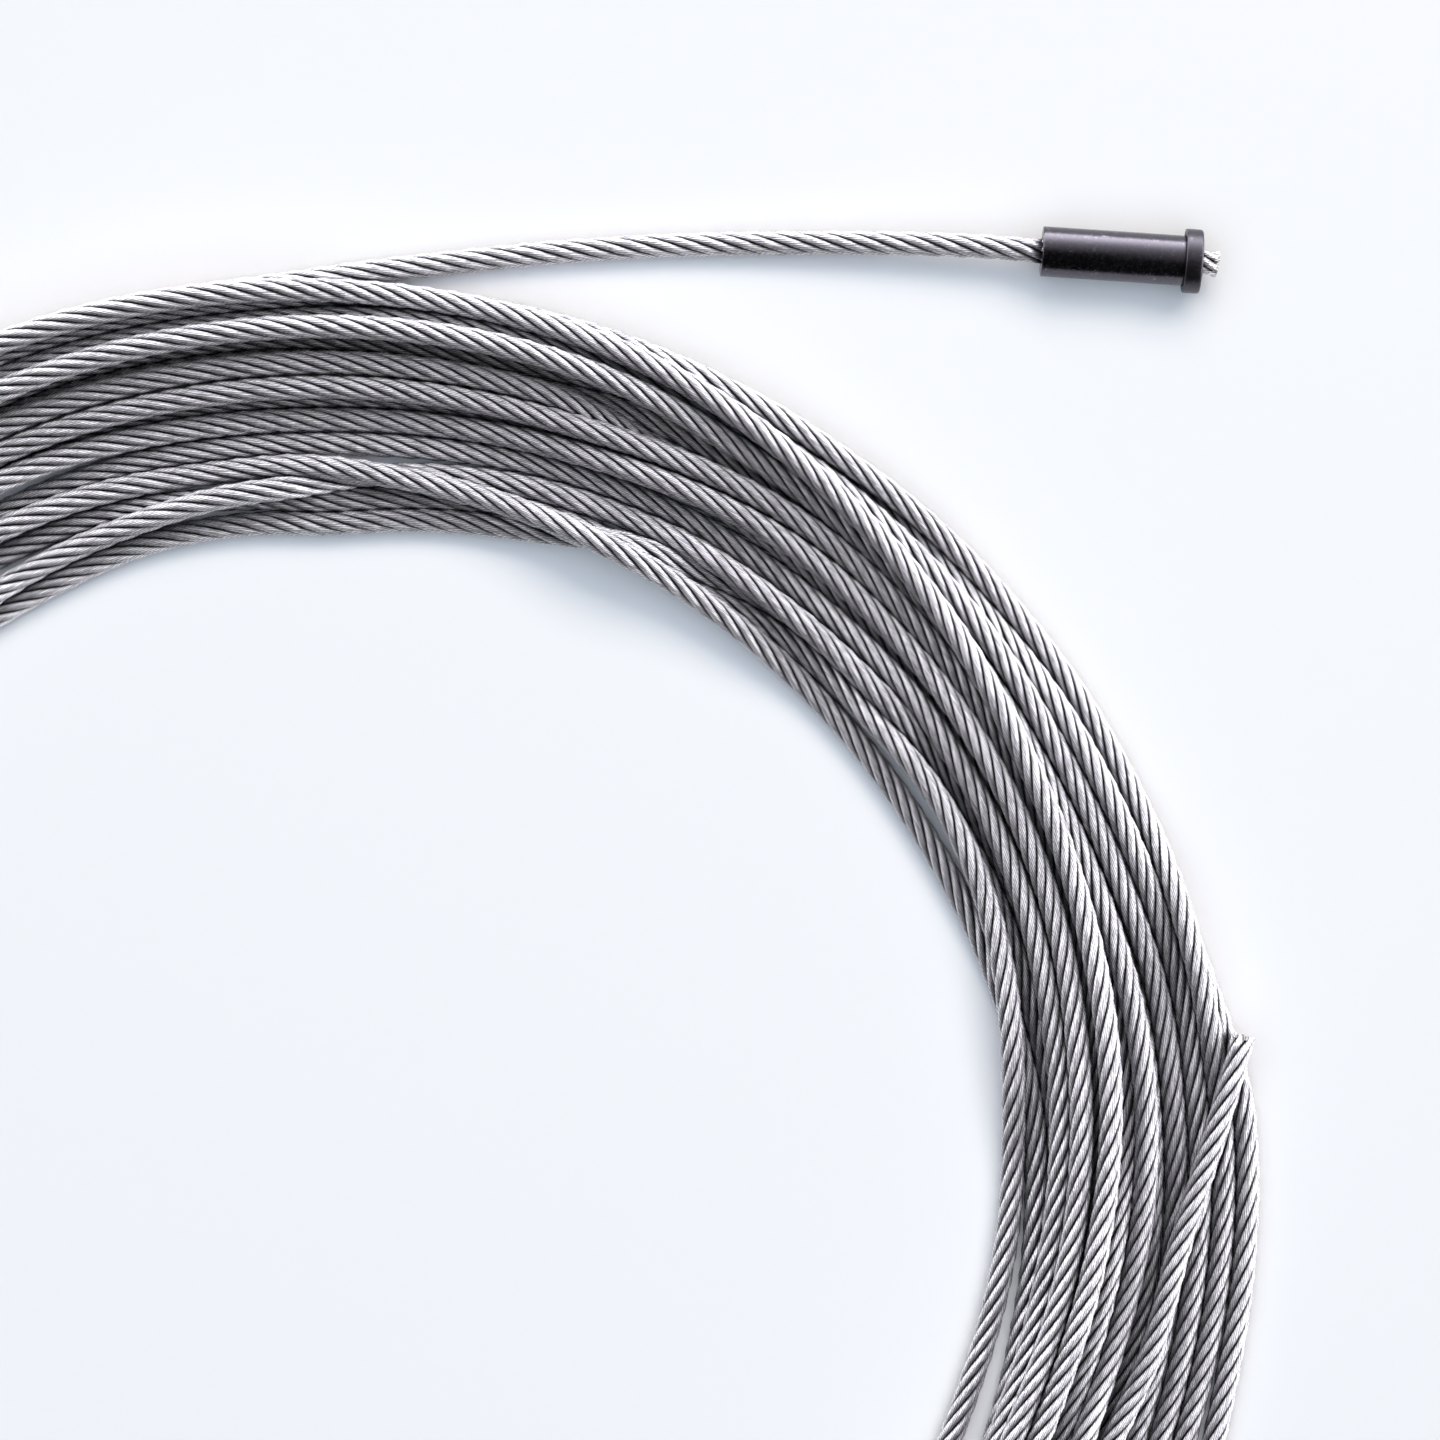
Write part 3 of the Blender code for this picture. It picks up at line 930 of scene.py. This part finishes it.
class WireRopeStageSettings(bpy.types.PropertyGroup):
    view_middle: FloatVectorProperty(
        name="View Middle",
        description="The point under the camera",
        size=2,
        default=(0.0687, 0.0870),
        unit="LENGTH",
    )
    view_width: FloatProperty(
        name="View Width",
        description="Width of the view at the rope's height",
        default=0.288,
        unit="LENGTH",
    )
    camera_height: FloatProperty(
        name="Camera Height",
        description="Height of the camera over the rope",
        default=1.0,
        unit="LENGTH",
    )
    light_side: FloatVectorProperty(
        name="Light Side",
        description="Level direction of the studio's brightest wall",
        size=2,
        default=(0.3, 0.95),
    )
    wall_strength: FloatProperty(
        name="Wall Strength",
        description="Brightness of that wall",
        default=6.5,
    )
    wall_falloff: FloatProperty(
        name="Wall Falloff",
        description="How fast the wall darkens upwards",
        default=7.0,
    )
    glow_strength: FloatProperty(
        name="Glow Strength",
        description="Glow above the wall on its side",
        default=1.5,
    )
    wall_colour: FloatVectorProperty(
        name="Wall Colour",
        description="Colour of the studio's light",
        subtype="COLOR",
        size=3,
        default=(0.98, 0.97, 1.0),
    )
    fill_strength: FloatProperty(
        name="Fill Strength",
        description="Brightness of the darkest side",
        default=0.015,
    )
    key_place: FloatVectorProperty(
        name="Key Place",
        description="Where the key light stands",
        size=3,
        default=(0.86, 1.85, 2.1),
        unit="LENGTH",
    )
    key_size: FloatVectorProperty(
        name="Key Size",
        description="The key light's width and height",
        size=2,
        default=(2.7, 1.35),
        unit="LENGTH",
    )
    key_power: FloatProperty(
        name="Key Power",
        description="Key light's power",
        default=51.0,
        unit="POWER",
    )
    top_place: FloatVectorProperty(
        name="Top Place",
        description="Where the top light hangs",
        size=3,
        default=(0.07, 0.05, 1.5),
        unit="LENGTH",
    )
    top_size: FloatVectorProperty(
        name="Top Size",
        description="The top light's width and height",
        size=2,
        default=(3.2, 3.2),
        unit="LENGTH",
    )
    top_power: FloatProperty(
        name="Top Power",
        description="Top light's power",
        default=44.0,
        unit="POWER",
    )


class WIREROPE_OT_add_strands(bpy.types.Operator):
    """Lay the free rope's strands along its route to the cut end"""

    bl_idname = "wire_rope.add_strands"
    bl_label = "Add Rope Strands"

    def execute(self, context):
        add_strands()
        return {"FINISHED"}


class WIREROPE_OT_add_sleeve_strands(bpy.types.Operator):
    """Lay the strands through the stop sleeve, with their sheared ends past the collar"""

    bl_idname = "wire_rope.add_sleeve_strands"
    bl_label = "Add Strands in Sleeve"

    def execute(self, context):
        add_sleeve_strands()
        return {"FINISHED"}


class WIREROPE_OT_add_sleeve(bpy.types.Operator):
    """Turn the swaged stop sleeve"""

    bl_idname = "wire_rope.add_sleeve"
    bl_label = "Add Stop Sleeve"

    def execute(self, context):
        add_stop_sleeve()
        return {"FINISHED"}


class WIREROPE_OT_add_collar(bpy.types.Operator):
    """Turn the collar at the stop sleeve's far end"""

    bl_idname = "wire_rope.add_collar"
    bl_label = "Add Collar"

    def execute(self, context):
        add_collar()
        return {"FINISHED"}


class WIREROPE_OT_add_stage(bpy.types.Operator):
    """Add the floor, the soft studio light and the camera"""

    bl_idname = "wire_rope.add_stage"
    bl_label = "Add Stage"

    def execute(self, context):
        stage = context.scene.wire_rope_stage
        add_floor()
        add_world(stage)
        add_soft_light("key", stage.key_place, stage.key_size, stage.key_power, KEY_COLOUR)
        add_soft_light("top", stage.top_place, stage.top_size, stage.top_power, TOP_COLOUR)
        add_camera(stage)
        context.scene.view_settings.view_transform = "Standard"
        return {"FINISHED"}


class WIREROPE_PT_panel(bpy.types.Panel):
    """Lists the steps that build the rope and its stage"""

    bl_label = "Wire Rope Coil"
    bl_idname = "WIREROPE_PT_panel"
    bl_space_type = "VIEW_3D"
    bl_region_type = "UI"
    bl_category = "Wire Rope"

    def draw(self, context):
        layout = self.layout
        for operator in OPERATORS:
            layout.operator(operator.bl_idname)
        for settings in SETTINGS:
            box = layout.box()
            group = getattr(context.scene, settings)
            for name in group.bl_rna.properties.keys():
                if name not in {"rna_type", "name"}:
                    box.prop(group, name)


OPERATORS = (
    WIREROPE_OT_add_strands,
    WIREROPE_OT_add_sleeve_strands,
    WIREROPE_OT_add_sleeve,
    WIREROPE_OT_add_collar,
    WIREROPE_OT_add_stage,
)
SETTINGS = {
    "wire_rope_rope": WireRopeRopeSettings,
    "wire_rope_ends": WireRopeEndSettings,
    "wire_rope_sleeve": WireRopeSleeveSettings,
    "wire_rope_stage": WireRopeStageSettings,
}


def register():
    for settings in SETTINGS.values():
        bpy.utils.register_class(settings)
    for name, settings in SETTINGS.items():
        setattr(bpy.types.Scene, name, PointerProperty(type=settings))
    for operator in (*OPERATORS, WIREROPE_PT_panel):
        bpy.utils.register_class(operator)


def unregister():
    for operator in reversed((*OPERATORS, WIREROPE_PT_panel)):
        bpy.utils.unregister_class(operator)
    for name in SETTINGS:
        delattr(bpy.types.Scene, name)
    for settings in reversed(tuple(SETTINGS.values())):
        bpy.utils.unregister_class(settings)


def main():
    register()
    bpy.ops.wire_rope.add_strands()
    bpy.ops.wire_rope.add_sleeve_strands()
    bpy.ops.wire_rope.add_sleeve()
    bpy.ops.wire_rope.add_collar()
    bpy.ops.wire_rope.add_stage()


if __name__ == "__main__":
    main()
